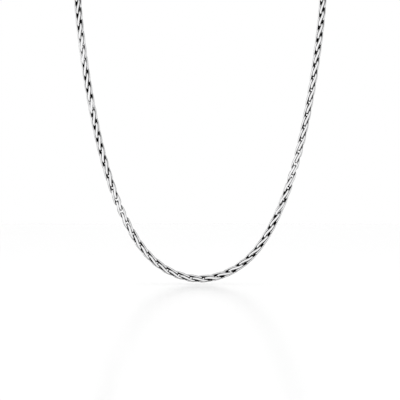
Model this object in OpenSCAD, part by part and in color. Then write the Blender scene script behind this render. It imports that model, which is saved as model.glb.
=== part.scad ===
// A silver wheat chain, closed by a clasp at the nape. Each link is an oval of wire
// with a twist, broader in its two sides than at its ends. It stands a quarter turn
// round from the last link, and holds the next two links on each side of it.
// Millimetres. The origin is the middle of the clasp, where the chain hangs on the
// nape. +Z is up and -Y is the front.

/* [Links] */
// Diameter of the wire that the links are bent from
wire_d = 0.8; // [0.7:0.02:0.82]
// Breadth of the wire half way along a link's two sides, where it is broadest
flank_w = 1.02; // [0.82:0.02:1.04]
// Overall width of the chain, across its links
chain_w = 3.56; // [3.54:0.01:3.8]
// Overall length of one link, from end to end
link_l = 8.4; // [8.3:0.02:8.56]
// Spacing of the links along the chain, which is evened out to fill its length
link_pitch = 3.02; // [3:0.01:3.1]
// Twist of a link from its middle to each end, in degrees
link_twist = 37.5; // [36:0.25:38]

/* [Rings] */
// Outer diameter of the ring at each end of the chain
ring_d = 4.8; // [4.6:0.1:6]
// Diameter of the wire of these rings
ring_wire_d = 0.8; // [0.6:0.05:0.9]

/* [Clasp] */
// Overall length of the clasp, from the end of its eye to the tip of its hook
clasp_l = 13; // [12:0.25:18]
// Width across the clasp's hook
clasp_w = 6; // [5:0.25:8]
// Diameter of the rod that the hook is bent from
hook_rod_d = 1.7; // [1.4:0.05:1.85]
// Thickness of the plate that fills the root of the hook
root_t = 1.3; // [1:0.05:1.6]
// Outer diameter of the clasp's eye
eye_d = 3.5; // [3.4:0.1:4.5]
// Diameter of the rod of the eye
eye_rod_d = 0.9; // [0.7:0.05:1]

/* [Fit] */
// Play between a ring and what it holds
ring_play = 0.2; // [0.18:0.02:0.3]

/* [Hidden] */
$fn = 48;

// The route of the chain's right half, from the lowest point in front up the arm and
// back round the neck to the nape. The left half is its mirror image. The chain
// runs just inside these points, as a smooth curve.
ROUTE = [
    [0, -41, -171.7],
    [14.8, -41, -167.8],
    [26.5, -41, -158.5],
    [34.5, -41, -145.5],
    [40.5, -41, -132],
    [45.2, -41, -117.5],
    [49, -41, -103],
    [51.9, -41, -88.5],
    [54.5, -41, -74],
    [56.5, -41, -59.5],
    [58.3, -40.2, -45],
    [59.5, -36.6, -31.5],
    [58, -29.3, -20.5],
    [53.5, -19.7, -13],
    [45.5, -11.1, -7.5],
    [36, -4.6, -3.5],
    [24.5, -0.9, -0.7],
    [12.5, 0, 0],
    [0, 0, 0]
];
// A point inside the loop, which the links' sides are turned to
HEART = [0, -41, -70];
// How far the links are turned about the chain: the distance from the lowest point,
// to the right, and the turn there in degrees
TURN = [
    [-260, 208],
    [-160, 96],
    [-116, 94],
    [-90, 87],
    [-66, 70],
    [-38, 12],
    [-28, 13],
    [-16, 18],
    [-4, 19],
    [8, 8],
    [20, -7],
    [28, -9],
    [36, -7],
    [52, -3],
    [62, -16],
    [79, -56],
    [90, -72],
    [112, -69],
    [128, -86],
    [147, -90],
    [260, -66]
];

// The form of a link: how flat its sides and ends are, and how its twist is spread
SIDE_THIRD = 0.17;
SIDE_FIFTH = 0.015;
END_THIRD = -0.035;
TWIST_THIRD = -0.1;
TWIST_FIFTH = 0.065;
// Steps round a link, sides of its wire, and steps of the route between two points
LINK_STEPS = 10;
WIRE_SIDES = 5;
ROUTE_STEPS = 12;

function unit(v) = v / norm(v);
function dot(a, b) = a * b;

// One stretch of a smooth curve, from the four points round it
function blend(a, b, c, d, u) =
    (pow(1 - u, 3) * a + (3 * pow(u, 3) - 6 * pow(u, 2) + 4) * b
    + (-3 * pow(u, 3) + 3 * pow(u, 2) + 3 * u + 1) * c + pow(u, 3) * d) / 6;

function mirrored(p) = [-p.x, p.y, p.z];

last_point = len(ROUTE) - 1;
guides = concat([mirrored(ROUTE[1])], ROUTE, [mirrored(ROUTE[last_point - 1])]);
curve = concat(
    [for (i = [1 : last_point], k = [0 : ROUTE_STEPS - 1])
        blend(guides[i - 1], guides[i], guides[i + 1], guides[i + 2], k / ROUTE_STEPS)],
    [ROUTE[last_point]]
);

// The distance of each point of the curve from its start
function distances(points, i = 0, sum = 0, done = []) =
    i == len(points) - 1
        ? concat(done, [sum])
        : distances(points, i + 1, sum + norm(points[i + 1] - points[i]), concat(done, [sum]));

along = distances(curve);
half_l = along[len(along) - 1];
table_x = [for (i = [0 : len(curve) - 1]) [along[i], curve[i].x]];
table_y = [for (i = [0 : len(curve) - 1]) [along[i], curve[i].y]];
table_z = [for (i = [0 : len(curve) - 1]) [along[i], curve[i].z]];

// The point of the chain's middle line at a distance from its lowest point
function route_at(s) =
    let (far = abs(s), side = s < 0 ? -1 : 1)
    [side * lookup(far, table_x), lookup(far, table_y), lookup(far, table_z)];

// Middle lines of the rings, the eye and the hook, and where each meets the next
ring_r = (ring_d - ring_wire_d) / 2;
eye_r = (eye_d - eye_rod_d) / 2;
hook_r = (clasp_w - hook_rod_d) / 2;
link_half = (link_l - wire_d) / 2;
link_to_ring = ring_r - ring_wire_d / 2 - ring_play - wire_d / 2;
ring_to_eye = ring_r - ring_wire_d / 2 - ring_play - eye_rod_d / 2;
ring_to_hook = ring_r - ring_wire_d / 2 - ring_play - hook_rod_d / 2;
clasp_reach = clasp_l - eye_rod_d / 2 - hook_rod_d / 2;
hook_run = clasp_reach - 2 * eye_r - hook_rod_d / 2 - 2 * hook_r;
closure_half = (2 * link_to_ring + ring_to_eye + clasp_reach + ring_to_hook) / 2;

// The links fill the route up to the rings
last_link_s = half_l - closure_half - link_half;
last_link = round(last_link_s / link_pitch);
step = last_link_s / last_link;

function link_s(j) = j * step;
function link_turn(j) = 90 * j + lookup(link_s(j), TURN);

// A link's own axes: along the chain, towards the heart and across
function link_axes(j) =
    let (
        s = link_s(j),
        p = route_at(s),
        t = unit(route_at(s + step) - route_at(s - step)),
        inward = HEART - p,
        n = unit(inward - dot(inward, t) * t),
        b = cross(t, n),
        turn = link_turn(j)
    )
    [p, t, cos(turn) * n + sin(turn) * b, cos(turn) * b - sin(turn) * n];

// The middle line of a link's wire, at an angle round the link
half_width = (chain_w - wire_d) / 2;
function side_wave(a) = sin(a) + SIDE_THIRD * sin(3 * a) + SIDE_FIFTH * sin(5 * a);
side_peak = max([for (a = [0 : 2 : 90]) side_wave(a)]);
function link_line(a) =
    let (
        x = link_half * (cos(a) + END_THIRD * cos(3 * a)) / (1 + END_THIRD),
        r = half_width * side_wave(a) / side_peak,
        twist = link_twist * (cos(a) + TWIST_THIRD * cos(3 * a) + TWIST_FIFTH * cos(5 * a))
    )
    [x, -r * sin(twist), r * cos(twist)];

// Half the breadth of the wire at an angle round the link: broadest half way along it
function flank_half(a) = (wire_d + (flank_w - wire_d) * pow(sin(a), 2)) / 2;

// One ring of points round the wire, starting half a side from its outer face
function wire_ring(i) =
    let (
        a = 360 / LINK_STEPS,
        p = link_line(i * a),
        t = unit(link_line((i + 1) * a) - link_line((i - 1) * a)),
        away = [p.x / 4, p.y, p.z],
        u = unit(away - dot(away, t) * t),
        v = cross(t, u)
    )
    [for (k = [0 : WIRE_SIDES - 1])
        let (w = 360 * (k + 0.5) / WIRE_SIDES)
        p + wire_d / 2 * cos(w) * u + flank_half(i * a) * sin(w) * v];

link_points = [for (i = [0 : LINK_STEPS - 1]) each wire_ring(i)];
function corner(i, k) = (i % LINK_STEPS) * WIRE_SIDES + k % WIRE_SIDES;
link_faces = [
    for (i = [0 : LINK_STEPS - 1], k = [0 : WIRE_SIDES - 1]) each [
        [corner(i, k), corner(i + 1, k), corner(i + 1, k + 1)],
        [corner(i, k), corner(i + 1, k + 1), corner(i, k + 1)]
    ]
];

// Places its child with its own axes along three directions
module seat(origin, x_axis, y_axis, z_axis) {
    multmatrix([
        [x_axis.x, y_axis.x, z_axis.x, origin.x],
        [x_axis.y, y_axis.y, z_axis.y, origin.y],
        [x_axis.z, y_axis.z, z_axis.z, origin.z]
    ])
        children();
}

module link(j) {
    axes = link_axes(j);
    seat(axes[0], axes[1], axes[2], axes[3])
        polyhedron(link_points, link_faces);
}

module chain_left() {
    color("silver")
        for (j = [-last_link : -1])
            link(j);
}

module chain_right() {
    color("silver")
        for (j = [0 : last_link])
            link(j);
}

// The free end of the chain: where its last wire crosses the middle line, the way on
// to the clasp, and the way that this wire runs
function end_wire(j, side) =
    let (
        axes = link_axes(j),
        out = side * axes[1],
        a = side > 0 ? 0 : 180,
        near = link_line(a + 1) - link_line(a - 1),
        run = unit(near.y * axes[2] + near.z * axes[3])
    )
    [axes[0] + link_half * out, out, run];

left_end = end_wire(-last_link, -1);
right_end = end_wire(last_link, 1);
eye_point = [-closure_half + link_to_ring + ring_to_eye, 0, 0];
hook_point = [closure_half - link_to_ring - ring_to_hook, 0, 0];

// A closed ring through an end link, in the plane square to that link's wire
module end_ring(end, target) {
    way = unit(target - end[0]);
    run = unit(end[2] - dot(end[2], way) * way);
    color("silver")
        seat(end[0] + link_to_ring * way, way, cross(run, way), run)
            rotate_extrude()
                translate([ring_r, 0])
                    circle(d = ring_wire_d);
}

module end_ring_left() {
    end_ring(left_end, eye_point);
}

module end_ring_right() {
    end_ring(right_end, hook_point);
}

// How far the eye and the hook are turned about X, to lie square to their rings
function turn_of(run) = atan2(run.z, run.y);

module half_loop(radius, rod_d) {
    rotate_extrude(angle = 180)
        translate([radius, 0])
            circle(d = rod_d);
}

// The hook of the clasp, from its root at the origin along +X
module hook() {
    rotate([0, 0, 90])
        half_loop(hook_r, hook_rod_d);
    translate([hook_run, 0, 0])
        rotate([0, 0, -90])
            half_loop(hook_r, hook_rod_d);
    for (side = [-1, 1])
        translate([0, side * hook_r, 0])
            rotate([0, 90, 0])
                cylinder(d = hook_rod_d, h = hook_run);
    translate([0, 0, -root_t / 2])
        cylinder(r = hook_r, h = root_t);
}

module clasp() {
    root_x = eye_point.x + 2 * eye_r + hook_rod_d / 2 + hook_r;
    color("silver")
        union() {
            translate([root_x, 0, 0])
                rotate([turn_of(right_end[2]), 0, 0])
                    hook();
            translate([eye_point.x + eye_r, 0, 0])
                rotate([turn_of(left_end[2]), 0, 0])
                    rotate_extrude()
                        translate([eye_r, 0])
                            circle(d = eye_rod_d);
        }
}

chain_left();
chain_right();
end_ring_left();
end_ring_right();
clasp();
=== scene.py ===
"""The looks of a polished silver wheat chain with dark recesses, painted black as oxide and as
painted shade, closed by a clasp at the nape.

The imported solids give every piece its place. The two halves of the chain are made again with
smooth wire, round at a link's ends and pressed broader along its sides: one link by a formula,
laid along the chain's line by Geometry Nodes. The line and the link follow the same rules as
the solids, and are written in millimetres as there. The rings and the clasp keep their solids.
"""

import math

import bpy
import numpy as np
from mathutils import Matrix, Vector
from mathutils.bvhtree import BVHTree


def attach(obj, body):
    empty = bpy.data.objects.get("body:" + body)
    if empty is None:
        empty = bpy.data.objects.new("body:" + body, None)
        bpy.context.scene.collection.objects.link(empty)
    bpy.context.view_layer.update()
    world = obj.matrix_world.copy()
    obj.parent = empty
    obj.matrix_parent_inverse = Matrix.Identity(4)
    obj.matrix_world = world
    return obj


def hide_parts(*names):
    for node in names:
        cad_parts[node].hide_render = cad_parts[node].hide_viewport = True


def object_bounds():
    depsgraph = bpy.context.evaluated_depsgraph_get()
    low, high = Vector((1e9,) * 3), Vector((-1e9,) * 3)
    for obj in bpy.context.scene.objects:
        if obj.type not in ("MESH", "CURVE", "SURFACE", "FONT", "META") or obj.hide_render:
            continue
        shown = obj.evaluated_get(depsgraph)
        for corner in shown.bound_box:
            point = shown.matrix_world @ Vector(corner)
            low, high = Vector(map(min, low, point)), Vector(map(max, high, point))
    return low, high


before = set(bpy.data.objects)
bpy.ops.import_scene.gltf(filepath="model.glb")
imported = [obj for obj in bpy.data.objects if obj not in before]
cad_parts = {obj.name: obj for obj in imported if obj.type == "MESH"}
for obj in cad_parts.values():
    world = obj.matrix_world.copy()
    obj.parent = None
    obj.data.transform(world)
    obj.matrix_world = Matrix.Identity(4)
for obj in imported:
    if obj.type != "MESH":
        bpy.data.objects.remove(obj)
CAD_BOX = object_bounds()
MM = 0.001

# The route of the chain's right half, from the lowest point in front to the nape
ROUTE = np.array([
    (0, -41, -171.7),
    (14.8, -41, -167.8),
    (26.5, -41, -158.5),
    (34.5, -41, -145.5),
    (40.5, -41, -132),
    (45.2, -41, -117.5),
    (49, -41, -103),
    (51.9, -41, -88.5),
    (54.5, -41, -74),
    (56.5, -41, -59.5),
    (58.3, -40.2, -45),
    (59.5, -36.6, -31.5),
    (58, -29.3, -20.5),
    (53.5, -19.7, -13),
    (45.5, -11.1, -7.5),
    (36, -4.6, -3.5),
    (24.5, -0.9, -0.7),
    (12.5, 0, 0),
    (0, 0, 0),
])
ROUTE_STEPS = 12
# The point inside the loop from which the links' turn is counted
HEART = np.array((0, -41, -70))
# How far the links are turned about the chain: distance from the lowest point, and degrees
TURN = np.array([
    (-260, 208),
    (-160, 96),
    (-116, 94),
    (-90, 87),
    (-66, 70),
    (-38, 12),
    (-28, 13),
    (-16, 18),
    (-4, 19),
    (8, 8),
    (20, -7),
    (28, -9),
    (36, -7),
    (52, -3),
    (62, -16),
    (79, -56),
    (90, -72),
    (112, -69),
    (128, -86),
    (147, -90),
    (260, -66),
])

# The links: the middle line of the wire is the solids' own, and the wire is a little thicker
# and broader, so that the links touch as real ones do
CAD_WIRE_D = 0.8
WIRE_D = 0.83
# How broad the wire is halfway along a link's side, and how square its section is: 2 is round
FLANK_W = 1.12
FLANK_SQUARE = 2.3
# The chain's width, a link's length, the way from link to link, and how far a link is twisted
# from its middle towards each end, in degrees
CHAIN_W = 3.56
LINK_L = 8.4
LINK_PITCH = 3.02
LINK_TWIST = 37.5
# The shares of the third and fifth waves that shape a link's sides, its ends and its twist
SIDE_THIRD = 0.17
SIDE_FIFTH = 0.015
END_THIRD = -0.035
TWIST_THIRD = -0.1
TWIST_FIFTH = 0.065
# How many rings of corners a link's wire has along it, and how many corners a ring has
LINK_STEPS = 44
WIRE_SIDES = 12
# How far a link may turn in its neighbours' hold, each way, in radians
LINK_SLACK = math.radians(0.8)
# How much of the way along a link counts for the way that its wire's outer side faces
END_FACING = 0.25

# What closes the loop: the rings and the clasp, and their play
RING_D = 4.8
RING_WIRE_D = 0.8
CLASP_L = 13
HOOK_ROD_D = 1.7
EYE_ROD_D = 0.9
RING_PLAY = 0.2


def length(rows):
    """The length of each row's vector, kept as a column."""
    return np.linalg.norm(rows, axis=-1, keepdims=True)


def unit(rows):
    """Each row's vector, made one unit long."""
    return rows / length(rows)


def square_to(rows, heading):
    """What is left of each vector square to its heading, made one unit long."""
    return unit(rows - np.sum(rows * heading, axis=-1, keepdims=True) * heading)


def blend(a, b, c, d, u):
    """One stretch of a smooth curve, from the four points round it."""
    return ((1 - u) ** 3 * a + (3 * u ** 3 - 6 * u ** 2 + 4) * b
            + (-3 * u ** 3 + 3 * u ** 2 + 3 * u + 1) * c + u ** 3 * d) / 6


def chain_line():
    """Points of the right half's middle line, and how far each lies from the lowest one."""
    mirror = np.array((-1, 1, 1))
    guides = np.vstack([ROUTE[1] * mirror, ROUTE, ROUTE[-2] * mirror])
    shares = np.arange(ROUTE_STEPS) / ROUTE_STEPS
    points = [blend(*guides[i:i + 4], u) for i in range(len(ROUTE) - 1) for u in shares]
    points = np.vstack(points + [ROUTE[-1]])
    gaps = length(np.diff(points, axis=0)).ravel()
    return points, np.concatenate([[0], np.cumsum(gaps)])


LINE, ALONG = chain_line()


def route_at(s):
    """The points of the chain's middle line at these distances from its lowest point."""
    x, y, z = (np.interp(np.abs(s), ALONG, LINE[:, axis]) for axis in range(3))
    return np.column_stack([np.sign(s) * x, y, z])


def closure_half():
    """Half of what the clasp and the two rings take up of the loop."""
    ring_hold = (RING_D - RING_WIRE_D) / 2 - RING_WIRE_D / 2 - RING_PLAY
    held = (CAD_WIRE_D, CAD_WIRE_D, EYE_ROD_D, HOOK_ROD_D)
    clasp_reach = CLASP_L - EYE_ROD_D / 2 - HOOK_ROD_D / 2
    return (clasp_reach + sum(ring_hold - rod_d / 2 for rod_d in held)) / 2


LINK_HALF = (LINK_L - CAD_WIRE_D) / 2
LAST_LINK_S = ALONG[-1] - closure_half() - LINK_HALF
LAST_LINK = round(LAST_LINK_S / LINK_PITCH)
STEP = LAST_LINK_S / LAST_LINK


def link_places(numbers):
    """Where links sit: their middles, the way they run, and the way their broad side faces."""
    s = numbers * STEP
    middle = route_at(s)
    heading = unit(route_at(s + STEP) - route_at(s - STEP))
    inward = square_to(HEART - middle, heading)
    across = np.cross(heading, inward)
    turn = np.radians(90 * numbers + np.interp(s, TURN[:, 0], TURN[:, 1]))[:, None]
    return middle, heading, np.cos(turn) * inward + np.sin(turn) * across


def link_line(steps):
    """The middle line of a link's wire, as a closed row of points."""
    a = np.arange(steps) * 2 * math.pi / steps
    wave = np.sin(a) + SIDE_THIRD * np.sin(3 * a) + SIDE_FIFTH * np.sin(5 * a)
    fine = np.radians(np.arange(0, 91, 2))
    peak = np.max(np.sin(fine) + SIDE_THIRD * np.sin(3 * fine) + SIDE_FIFTH * np.sin(5 * fine))
    spread = np.cos(a) + TWIST_THIRD * np.cos(3 * a) + TWIST_FIFTH * np.cos(5 * a)
    x = LINK_HALF * (np.cos(a) + END_THIRD * np.cos(3 * a)) / (1 + END_THIRD)
    r = (CHAIN_W - CAD_WIRE_D) / 2 * wave / peak
    twist = np.radians(LINK_TWIST) * spread
    return np.column_stack([x, -r * np.sin(twist), r * np.cos(twist)])


def link_skin():
    """The corners of one link, ring by ring, and the way that each of them faces."""
    line = link_line(LINK_STEPS)
    heading = unit(np.roll(line, -1, axis=0) - np.roll(line, 1, axis=0))
    outward = square_to(line * (END_FACING, 1, 1), heading)
    across = np.cross(heading, outward)
    w = (np.arange(WIRE_SIDES) * 2 * math.pi / WIRE_SIDES)[:, None]
    # Round wire at the ends of the link, pressed flatter and squarer on its flanks
    press = (np.sin(np.arange(LINK_STEPS) * 2 * math.pi / LINK_STEPS) ** 2)[:, None, None]
    half = (WIRE_D + (FLANK_W - WIRE_D) * press) / 2
    square = 2 + (FLANK_SQUARE - 2) * press
    out = np.sign(np.cos(w)) * np.abs(np.cos(w)) ** (2 / square)
    over = np.sign(np.sin(w)) * np.abs(np.sin(w)) ** (2 / square)
    thick = out * WIRE_D / 2 * outward[:, None]
    corners = line[:, None] + thick + over * half * across[:, None]
    rise = np.sign(out) * np.abs(out) ** (square - 1) / (WIRE_D / 2)
    fall = np.sign(over) * np.abs(over) ** (square - 1) / half
    facing = unit(rise * outward[:, None] + fall * across[:, None])
    return corners.reshape(-1, 3), facing.reshape(-1, 3)


def link_faces():
    """The faces between the rings of a link, pointing outwards."""
    faces = []
    for i in range(LINK_STEPS):
        here = i * WIRE_SIDES
        there = (i + 1) % LINK_STEPS * WIRE_SIDES
        for k in range(WIRE_SIDES):
            after = (k + 1) % WIRE_SIDES
            faces.append((here + k, here + after, there + after, there + k))
    return faces


# How far a corner looks round for metal that shelters it, in millimetres, in how many ways, and
# how far off the skin it starts to look
SHELTER_REACH = 2.6
SHELTER_LOOKS = 192
SHELTER_START = 0.01
# The links that can shelter a link, itself among them, counted from it
NEIGHBOURS = range(-3, 4)
# A slanting way, which no corner faces straight, from which its looks are laid out
SLANT = np.array((1, 0.3, 0.2))


def dome(looks):
    """Ways to look from a surface that faces +Z, closer together round its own facing."""
    number = np.arange(looks) + 0.5
    rise = np.sqrt(1 - number / looks)
    reach = np.sqrt(number / looks)
    turn = number * math.pi * (3 - math.sqrt(5))
    return np.column_stack([reach * np.cos(turn), reach * np.sin(turn), rise])


def shelter(corners, facing, faces):
    """How much of what each corner of a link faces is close metal, from 0 to 1. The material
    paints the sheltered corners black, as oxide and as painted shade, and leaves the open ones
    polished."""
    metal = []
    for number in NEIGHBOURS:
        turn = math.radians(90) * number
        x, y, z = corners.T
        metal.append(np.column_stack([
            x + number * STEP,
            y * math.cos(turn) - z * math.sin(turn),
            y * math.sin(turn) + z * math.cos(turn),
        ]))
    count = len(corners)
    all_faces = [tuple(c + i * count for c in f) for i in range(len(metal)) for f in faces]
    tree = BVHTree.FromPolygons(np.vstack(metal).tolist(), all_faces)
    looks = dome(SHELTER_LOOKS)
    found = np.zeros(count)
    for i, (corner, ahead) in enumerate(zip(corners, facing)):
        side = square_to(SLANT, ahead)
        ways = looks @ np.array([side, np.cross(ahead, side), ahead])
        start = Vector(corner + ahead * SHELTER_START)
        hits = sum(tree.ray_cast(start, Vector(way), SHELTER_REACH)[0] is not None for way in ways)
        found[i] = hits / SHELTER_LOOKS
    return found


def wire_map(mesh):
    """A flat map of the wire's skin: along the wire, and round it, both in millimetres."""
    line = link_line(LINK_STEPS)
    spacing = length(np.diff(line, axis=0)).sum() / (LINK_STEPS - 1)
    side = math.pi * WIRE_D / WIRE_SIDES
    layer = mesh.uv_layers.new(name="wire")
    number = np.arange(LINK_STEPS * WIRE_SIDES)
    u = (number // WIRE_SIDES)[:, None] + np.array((0, 0, 1, 1))
    v = (number % WIRE_SIDES)[:, None] + np.array((0, 1, 1, 0))
    layer.data.foreach_set("uv", np.stack([u * spacing, v * side], axis=-1).ravel())


def mark(mesh, label, values):
    """Gives each corner of a mesh a number under this label."""
    layer = mesh.attributes.new(label, "FLOAT", "POINT")
    layer.data.foreach_set("value", values)


def marks(mesh, label):
    """The numbers that a mesh's corners hold under this label."""
    values = np.empty(len(mesh.vertices))
    mesh.attributes[label].data.foreach_get("value", values)
    return values


def paint_glints(mesh):
    """How strongly a painted highlight brightens each corner, by where it lies along the chain."""
    s = marks(mesh, "middle_s") + marks(mesh, "from_middle")
    mark(mesh, "painted_glint", np.interp(s, PAINTED_GLINTS[:, 0], PAINTED_GLINTS[:, 1]))


def make_link():
    """One link of the chain at the origin, which is only the pattern for the rows of links."""
    corners, facing = link_skin()
    faces = link_faces()
    mesh = bpy.data.meshes.new("link")
    mesh.from_pydata((corners * MM).tolist(), [], faces)
    mark(mesh, "shelter", shelter(corners, facing, faces))
    mark(mesh, "radius", length(corners[:, 1:]).ravel())
    mark(mesh, "from_middle", corners[:, 0])
    wire_map(mesh)
    return bpy.data.objects.new("link", mesh)


def make_places(name, numbers):
    """The places of a row of links, as points that know which way a link runs and faces, and
    how far along the chain it is."""
    middle, heading, side = link_places(numbers)
    mesh = bpy.data.meshes.new(name)
    mesh.from_pydata((middle * MM).tolist(), [], [])
    for label, rows in (("heading", heading), ("side", side)):
        layer = mesh.attributes.new(label, "FLOAT_VECTOR", "POINT")
        layer.data.foreach_set("vector", rows.ravel())
    mark(mesh, "middle_s", numbers * STEP)
    return bpy.data.objects.new(name, mesh)


def add(tree, kind, inputs=None, **settings):
    """A node of this kind, with its settings, and its inputs set or linked by name or number."""
    node = tree.nodes.new(kind)
    for key, value in settings.items():
        setattr(node, key, value)
    for key, value in (inputs or {}).items():
        if isinstance(value, bpy.types.NodeSocket):
            tree.links.new(value, node.inputs[key])
        else:
            node.inputs[key].default_value = value
    return node


def link_row_tree():
    """Lays a link at each point of a row and makes them one mesh."""
    tree = bpy.data.node_groups.new("link_row", "GeometryNodeTree")
    sockets = tree.interface
    sockets.new_socket("Places", in_out="INPUT", socket_type="NodeSocketGeometry")
    sockets.new_socket("Link", in_out="INPUT", socket_type="NodeSocketObject")
    sockets.new_socket("Slack", in_out="INPUT", socket_type="NodeSocketFloat")
    sockets.new_socket("Seed", in_out="INPUT", socket_type="NodeSocketInt")
    sockets.new_socket("Finish", in_out="INPUT", socket_type="NodeSocketMaterial")
    sockets.new_socket("Row", in_out="OUTPUT", socket_type="NodeSocketGeometry")
    given = tree.nodes.new("NodeGroupInput").outputs

    pattern = add(tree, "GeometryNodeObjectInfo", {"Object": given["Link"]})
    heading = add(tree, "GeometryNodeInputNamedAttribute", {"Name": "heading"},
                  data_type="FLOAT_VECTOR")
    side = add(tree, "GeometryNodeInputNamedAttribute", {"Name": "side"},
               data_type="FLOAT_VECTOR")
    stance = add(tree, "FunctionNodeAxesToRotation",
                 {"Primary Axis": heading.outputs[0], "Secondary Axis": side.outputs[0]},
                 primary_axis="X", secondary_axis="Y")

    # Each link lies a little differently in the hold of its neighbours
    low = add(tree, "ShaderNodeMath", {0: given["Slack"], 1: -1.0}, operation="MULTIPLY")
    swing = add(tree, "FunctionNodeRandomValue",
                {0: low.outputs[0], 1: given["Slack"], "Seed": given["Seed"]},
                data_type="FLOAT_VECTOR")
    loose = add(tree, "FunctionNodeEulerToRotation", {0: swing.outputs[0]})
    turned = add(tree, "FunctionNodeRotateRotation",
                 {"Rotation": stance.outputs[0], "Rotate By": loose.outputs[0]},
                 rotation_space="LOCAL")

    # A number of its own for each link, which its finish reads
    own = add(tree, "FunctionNodeRandomValue", {"Seed": given["Seed"]}, data_type="FLOAT")
    known = add(tree, "GeometryNodeStoreNamedAttribute",
                {"Geometry": given["Places"], "Name": "link_own", "Value": own.outputs[1]})
    laid = add(tree, "GeometryNodeInstanceOnPoints",
               {"Points": known.outputs[0], "Instance": pattern.outputs["Geometry"],
                "Rotation": turned.outputs[0]})
    joined = add(tree, "GeometryNodeRealizeInstances", {"Geometry": laid.outputs[0]})
    smooth = add(tree, "GeometryNodeSetShadeSmooth", {"Geometry": joined.outputs[0]})
    finished = add(tree, "GeometryNodeSetMaterial",
                   {"Geometry": smooth.outputs[0], "Material": given["Finish"]})
    add(tree, "NodeGroupOutput", {"Row": finished.outputs[0]})
    return tree


def socket_key(tree, name):
    """The identifier that a modifier uses for a tree's input."""
    return next(s.identifier for s in tree.interface.items_tree
                if s.name == name and s.in_out == "INPUT")


def lay_links(name, tree, places, link, finish, seed):
    """One half of the chain as a plain mesh, in place of its solid."""
    bpy.context.collection.objects.link(places)
    row = places.modifiers.new("link_row", "NODES")
    row.node_group = tree
    for key, value in (("Link", link), ("Slack", LINK_SLACK), ("Seed", seed), ("Finish", finish)):
        row[socket_key(tree, key)] = value
    bpy.context.view_layer.update()
    evaluated = places.evaluated_get(bpy.context.evaluated_depsgraph_get())
    mesh = bpy.data.meshes.new_from_object(evaluated)
    places.modifiers.remove(row)
    bpy.data.objects.remove(places)
    paint_glints(mesh)
    mesh.name = name
    half = bpy.data.objects.new(name, mesh)
    bpy.context.collection.objects.link(half)
    return half


# The silver of the brightest links and of the dullest, and the black painted in the recesses,
# which stands for oxide and for painted shade
POLISHED = (0.89, 0.89, 0.895, 1)
POLISHED_LOW = (0.84, 0.84, 0.845, 1)
OXIDE_AND_SHADE = (0.007, 0.007, 0.0075, 1)
OXIDE_AND_SHADE_ROUGH = 0.5
# How sheltered the metal is where the painted shade and oxide begin, and where it is all black
DARK_FROM = 0.28
DARK_TO = 0.44
# Where painted highlights (glints) brighten the chain: distance from the lowest point, and how
# much
PAINTED_GLINTS = np.array([
    (-142, 0),
    (-139.5, 0.75),
    (-127, 0.75),
    (-124, 0),
    (-109, 0),
    (-107.5, 1),
    (-104.5, 1),
    (-103, 0),
    (51.5, 0),
    (53, 1),
    (55.5, 1),
    (57, 0),
])
# How much more shelter the polish stands: where a painted highlight is at full strength, and by
# chance from link to link and from patch to patch. The patches are this many to a metre
GLINT_SHIFT = 0.5
OWN_SHIFT = 0.025
PATCH_SHIFT = 0.06
PATCHES = 900
# How far from the chain's middle line the polishing wheel begins to reach, and reaches fully, in
# millimetres, and how much further in for each unit of those shifts. Closer in, the metal is
# painted black, as oxide and as painted shade
WHEEL_FROM = 1.15
WHEEL_TO = 1.42
WHEEL_SHARE = 3.0
# The draw lines of the wire: how many to a millimetre along it and round it, how deep they are
# in millimetres, how much of that shows, the least and the most rough that they make it, and
# how far apart in their pattern the links' own lines are picked
DRAWN_LINES = (0.6, 7, 1)
DRAWN_DEPTH = 0.04
DRAWN_STRENGTH = 0.5
DRAWN_ROUGH = (0.08, 0.24)
DRAWN_APART = 100
# Nearly all of a noise texture's values lie between these
NOISE_LOW = 0.3
NOISE_HIGH = 0.7
# The silver of the rings and the clasp, which hands have dulled a little, how many rub marks it
# has to a metre, and the least and the most rough that they make it
CLASP_SILVER = (0.74, 0.74, 0.745, 1)
RUB_MARKS = 1500
RUB_ROUGH = (0.1, 0.3)
# Their hollows, painted dark as tarnish and as painted shade: how far metal shelters them, in
# millimetres, with how many looks, and how open a spot is where it is all black and where it is
# clean
HOLLOW_REACH = 1.2
HOLLOW_LOOKS = 12
HOLLOW_BLACK = 0.3
HOLLOW_CLEAN = 0.72


def new_material(name):
    """A new material, its tree and its shader."""
    material = bpy.data.materials.new(name)
    material.use_nodes = True
    tree = material.node_tree
    return material, tree, tree.nodes["Principled BSDF"]


def corner_value(tree, label):
    """What the corners of a piece hold under this label."""
    return add(tree, "ShaderNodeAttribute", attribute_name=label).outputs["Fac"]


def falls(tree, value, start, end):
    """Goes smoothly from 1 to 0 as the value goes from start to end."""
    return add(tree, "ShaderNodeMapRange",
               {"Value": value, "From Min": start, "From Max": end,
                "To Min": 1.0, "To Max": 0.0}, interpolation_type="SMOOTHSTEP").outputs[0]


def mix_colour(tree, share, first, second):
    """The first colour, with this share of the second in it."""
    return add(tree, "ShaderNodeMix", {"Factor": share, "A": first, "B": second},
               data_type="RGBA").outputs["Result"]


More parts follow.
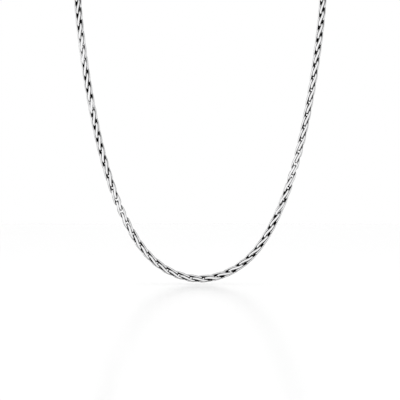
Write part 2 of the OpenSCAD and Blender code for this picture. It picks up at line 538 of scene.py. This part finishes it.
def shade_and_oxide_share(tree):
    """How black the chain is painted, as oxide and as painted shade: where metal shelters it, or
    where the wheel didn't reach, and less where a highlight is painted.
    """
    place = add(tree, "ShaderNodeTexCoord").outputs["Object"]
    patch = add(tree, "ShaderNodeTexNoise", {"Vector": place, "Scale": PATCHES, "Detail": 3.0})
    shift = add(tree, "ShaderNodeMapRange",
                {"Value": patch.outputs[0], "To Min": -PATCH_SHIFT, "To Max": PATCH_SHIFT})
    edge = add(tree, "ShaderNodeMath",
               {0: corner_value(tree, "shelter"), 1: shift.outputs[0]}, operation="ADD")
    luck = add(tree, "ShaderNodeMapRange",
               {"Value": corner_value(tree, "link_own"),
                "To Min": -OWN_SHIFT, "To Max": OWN_SHIFT})
    # Painted highlights lift the polish over the painted shade, with a little chance from link to
    # link
    glint_and_luck = add(tree, "ShaderNodeMath",
               {0: corner_value(tree, "painted_glint"), 1: GLINT_SHIFT, 2: luck.outputs[0]},
               operation="MULTIPLY_ADD").outputs[0]
    kept = add(tree, "ShaderNodeMath", {0: edge.outputs[0], 1: glint_and_luck}, operation="SUBTRACT")
    # Black where close metal shelters the wire: painted shade, with oxide
    sheltered = add(tree, "ShaderNodeMapRange",
                    {"Value": kept.outputs[0], "From Min": DARK_FROM, "From Max": DARK_TO},
                    interpolation_type="SMOOTHSTEP")
    # Black close to the chain's middle line too: painted shade, with oxide
    out = add(tree, "ShaderNodeMath",
              {0: glint_and_luck, 1: WHEEL_SHARE, 2: corner_value(tree, "radius")},
              operation="MULTIPLY_ADD")
    deep = falls(tree, out.outputs[0], WHEEL_FROM, WHEEL_TO)
    return add(tree, "ShaderNodeMath", {0: sheltered.outputs[0], 1: deep},
               operation="MAXIMUM").outputs[0]


def draw_lines(tree):
    """Fine lines along the wire, from the die it was drawn through, its own on each link."""
    wire = add(tree, "ShaderNodeUVMap", uv_map="wire").outputs[0]
    spread = add(tree, "ShaderNodeMapping", {"Vector": wire, "Scale": DRAWN_LINES})
    pick = add(tree, "ShaderNodeMath", {0: corner_value(tree, "link_own"), 1: DRAWN_APART},
               operation="MULTIPLY")
    return add(tree, "ShaderNodeTexNoise",
               {"Vector": spread.outputs[0], "W": pick.outputs[0], "Scale": 1.0, "Detail": 4.0},
               noise_dimensions="4D").outputs[0]


def link_silver():
    """Silver wire, polished where the wheel reached it and painted black in the recesses, as oxide
    and as painted shade, with painted highlights at a few places along the chain.
    """
    material, tree, surface = new_material("link_silver")
    surface.inputs["Metallic"].default_value = 1
    shade_and_oxide = shade_and_oxide_share(tree)
    bright = mix_colour(tree, corner_value(tree, "link_own"), POLISHED_LOW, POLISHED)
    lines = draw_lines(tree)
    relief = add(tree, "ShaderNodeBump",
                 {"Strength": DRAWN_STRENGTH, "Distance": DRAWN_DEPTH * MM, "Height": lines})
    gloss = add(tree, "ShaderNodeMapRange",
                {"Value": lines, "From Min": NOISE_LOW, "From Max": NOISE_HIGH,
                 "To Min": DRAWN_ROUGH[0], "To Max": DRAWN_ROUGH[1]})
    rough = add(tree, "ShaderNodeMix",
                {"Factor": shade_and_oxide, "A": gloss.outputs[0], "B": OXIDE_AND_SHADE_ROUGH}, data_type="FLOAT")
    # The recesses are painted black, as oxide and as painted shade
    tree.links.new(mix_colour(tree, shade_and_oxide, bright, OXIDE_AND_SHADE), surface.inputs["Base Color"])
    tree.links.new(rough.outputs["Result"], surface.inputs["Roughness"])
    tree.links.new(relief.outputs["Normal"], surface.inputs["Normal"])
    return material


def polished_silver():
    """Silver with fine rub marks, and its hollows painted dark as tarnish and as painted shade,
    for the rings and the clasp.
    """
    material, tree, surface = new_material("polished_silver")
    surface.inputs["Metallic"].default_value = 1
    # The hollows are painted dark by how closed in they are: tarnish and painted shade
    open_share = add(tree, "ShaderNodeAmbientOcclusion", {"Distance": HOLLOW_REACH * MM},
                     samples=HOLLOW_LOOKS).outputs["AO"]
    shade_and_oxide = falls(tree, open_share, HOLLOW_BLACK, HOLLOW_CLEAN)
    place = add(tree, "ShaderNodeTexCoord").outputs["Object"]
    rub = add(tree, "ShaderNodeTexNoise", {"Vector": place, "Scale": RUB_MARKS, "Detail": 4.0})
    gloss = add(tree, "ShaderNodeMapRange",
                {"Value": rub.outputs[0], "To Min": RUB_ROUGH[0], "To Max": RUB_ROUGH[1]})
    tree.links.new(mix_colour(tree, shade_and_oxide, CLASP_SILVER, OXIDE_AND_SHADE), surface.inputs["Base Color"])
    tree.links.new(gloss.outputs[0], surface.inputs["Roughness"])
    return material


def make_chain():
    """Both halves of the chain, each with a seed of its own for what is random."""
    link = make_link()
    tree = link_row_tree()
    finish = link_silver()
    halves = (
        ("chain_left", np.arange(-LAST_LINK, 0), 3),
        ("chain_right", np.arange(0, LAST_LINK + 1), 8),
    )
    for node, numbers, seed in halves:
        places = make_places(node + "_places", numbers)
        half = lay_links(node + "_links", tree, places, link, finish, seed)
        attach(half, "root")
        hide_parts(node)


def finish_closure():
    """The rings and the clasp keep their solids' shape and get their metal."""
    silver = polished_silver()
    for node in ("end_ring_left", "end_ring_right", "clasp"):
        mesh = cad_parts[node].data
        mesh.materials.clear()
        mesh.materials.append(silver)


# The camera: level, square to the front of the chain, and far enough to be free of distortion.
# The photo's frame is VIEW_W wide where the front of the chain hangs, FRONT_Y
FRONT_Y = -41
VIEW_W = 192
VIEW_FROM = 1200
VIEW_X = -0.13
VIEW_Z = -132.6
SENSOR_W = 36
# The nearest and the farthest that it sees, in metres
SEEN_FROM = 0.05
SEEN_TO = 20


def make_camera():
    """The camera in front of the chain, at the photo's angle and frame."""
    lens = bpy.data.cameras.new("camera")
    lens.sensor_width = SENSOR_W
    lens.lens = SENSOR_W * VIEW_FROM / VIEW_W
    lens.clip_start = SEEN_FROM
    lens.clip_end = SEEN_TO
    camera = bpy.data.objects.new("camera", lens)
    camera.location = (VIEW_X * MM, (FRONT_Y - VIEW_FROM) * MM, VIEW_Z * MM)
    camera.rotation_euler = (math.radians(90), 0, 0)
    bpy.context.collection.objects.link(camera)
    bpy.context.scene.camera = camera


# The glossy white table: how far below the chain it lies in millimetres, half its width in
# metres, its white, how much of its light is mirrored, and how blurred that is
TABLE_GAP = 0.9
TABLE_HALF = 3.0
TABLE_WHITE = (0.95, 0.95, 0.95, 1)
TABLE_MIRROR = 0.27
TABLE_ROUGH = 0.13


def make_table():
    """The table that the chain hangs just clear of, which mirrors it faintly."""
    z = CAD_BOX[0][2] - TABLE_GAP * MM
    mesh = bpy.data.meshes.new("table")
    corners = [(-1, -1), (1, -1), (1, 1), (-1, 1)]
    mesh.from_pydata([(x * TABLE_HALF, y * TABLE_HALF, z) for x, y in corners], [], [(0, 1, 2, 3)])
    table = bpy.data.objects.new("table", mesh)
    bpy.context.collection.objects.link(table)
    material, tree, surface = new_material("table_white")
    tree.nodes.remove(surface)
    matt = add(tree, "ShaderNodeBsdfDiffuse", {"Color": TABLE_WHITE})
    gloss = add(tree, "ShaderNodeBsdfGlossy", {"Color": (1, 1, 1, 1), "Roughness": TABLE_ROUGH})
    both = add(tree, "ShaderNodeMixShader",
               {"Fac": TABLE_MIRROR, 1: matt.outputs[0], 2: gloss.outputs[0]})
    out = tree.nodes["Material Output"]
    tree.links.new(both.outputs[0], out.inputs["Surface"])
    mesh.materials.append(material)
    # The metal mirrors the grey room and its lamps, and not the white table
    table.visible_glossy = False


# What the metal and the table's gloss mirror: a grey room with soft round lamps far away. Each
# has the way to it from the chain, how far its light reaches round that way, in degrees, and
# its strength. LAMP_EDGE is how much of that reach its light takes to grow to full strength
ROOM = 0.28
LAMPS = (
    ("front_screen", (-0.2, -1, -0.1), 76, 0.78),
    ("left_screen", (-1, -0.15, 0), 44, 0.5),
    ("right_screen", (1, -0.15, 0), 44, 0.5),
    ("back_window", (0, 1, 0.03), 16, 0.45),
    ("back_screen", (0.2, 1, 0.5), 52, 0.5),
)
LAMP_EDGE = 24
# The even light that makes the table white
TABLE_LIGHT = 1.06


def lit_room(tree):
    """How bright the room is each way from the chain, lamps and all."""
    way = add(tree, "ShaderNodeTexCoord").outputs["Generated"]
    light = add(tree, "ShaderNodeValue").outputs[0]
    light.default_value = ROOM
    for name, towards, reach, strength in LAMPS:
        facing = add(tree, "ShaderNodeVectorMath",
                     {0: way, 1: Vector(towards).normalized()}, operation="DOT_PRODUCT")
        glow = add(tree, "ShaderNodeMapRange",
                   {"Value": facing.outputs["Value"],
                    "From Min": math.cos(math.radians(reach)),
                    "From Max": math.cos(math.radians(max(reach - LAMP_EDGE, 0))),
                    "To Max": strength}, interpolation_type="SMOOTHSTEP")
        glow.label = name
        light = add(tree, "ShaderNodeMath", {0: light, 1: glow.outputs[0]}).outputs[0]
    return light


def make_studio():
    """White behind the chain, an even light for the table, and for all that is mirrored the
    room and its lamps."""
    scene = bpy.context.scene
    scene.view_settings.view_transform = "Standard"
    world = bpy.data.worlds.new("studio")
    world.use_nodes = True
    scene.world = world
    tree = world.node_tree
    ray = add(tree, "ShaderNodeLightPath").outputs
    soft = add(tree, "ShaderNodeMix",
               {"Factor": ray["Is Diffuse Ray"], "A": lit_room(tree), "B": TABLE_LIGHT},
               data_type="FLOAT").outputs["Result"]
    strength = add(tree, "ShaderNodeMix", {"Factor": ray["Is Camera Ray"], "A": soft, "B": 1.0},
                   data_type="FLOAT")
    backdrop = tree.nodes["Background"]
    backdrop.inputs["Color"].default_value = (1, 1, 1, 1)
    tree.links.new(strength.outputs["Result"], backdrop.inputs["Strength"])


make_camera()
make_chain()
finish_closure()
make_table()
make_studio()
